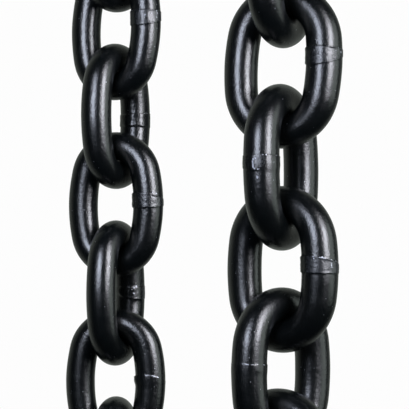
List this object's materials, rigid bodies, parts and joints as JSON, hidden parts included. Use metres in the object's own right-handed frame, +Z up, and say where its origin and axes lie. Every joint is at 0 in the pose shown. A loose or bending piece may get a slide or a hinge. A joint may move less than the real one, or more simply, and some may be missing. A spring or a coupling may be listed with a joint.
{
  "type": "lengths of lifting chain",
  "caption": "Lengths of blackened round-link lifting chain in two sizes, lying side by side; the open end links take a hook or shackle.",
  "frame": {"origin": "on the floor, under the middle of the two lengths", "axes": "+Y along the chains, +X across them from the 14 mm length to the 16 mm length, +Z up from the floor"},
  "size_m": [0.1302, 1.0498, 0.0536],
  "materials": {
    "blackened_steel": "black, satin to glossy, oiled"
  },
  "bodies": {
    "root": {"link_14mm_01": "blackened_steel", "link_14mm_02": "blackened_steel", "link_14mm_03": "blackened_steel", "link_14mm_04": "blackened_steel", "link_14mm_05": "blackened_steel", "link_14mm_06": "blackened_steel", "link_14mm_07": "blackened_steel", "link_14mm_08": "blackened_steel", "link_14mm_09": "blackened_steel", "link_14mm_10": "blackened_steel", "link_14mm_11": "blackened_steel", "link_14mm_12": "blackened_steel", "link_14mm_13": "blackened_steel", "link_14mm_14": "blackened_steel", "link_14mm_15": "blackened_steel", "link_14mm_16": "blackened_steel", "link_14mm_17": "blackened_steel", "link_14mm_18": "blackened_steel", "link_14mm_19": "blackened_steel", "link_14mm_20": "blackened_steel", "link_14mm_21": "blackened_steel", "link_14mm_22": "blackened_steel", "link_14mm_23": "blackened_steel", "link_14mm_24": "blackened_steel", "link_16mm_01": "blackened_steel", "link_16mm_02": "blackened_steel", "link_16mm_03": "blackened_steel", "link_16mm_04": "blackened_steel", "link_16mm_05": "blackened_steel", "link_16mm_06": "blackened_steel", "link_16mm_07": "blackened_steel", "link_16mm_08": "blackened_steel", "link_16mm_09": "blackened_steel", "link_16mm_10": "blackened_steel", "link_16mm_11": "blackened_steel", "link_16mm_12": "blackened_steel", "link_16mm_13": "blackened_steel", "link_16mm_14": "blackened_steel", "link_16mm_15": "blackened_steel", "link_16mm_16": "blackened_steel", "link_16mm_17": "blackened_steel", "link_16mm_18": "blackened_steel", "link_16mm_19": "blackened_steel", "link_16mm_20": "blackened_steel", "link_16mm_21": "blackened_steel"}
  },
  "joints": []
}
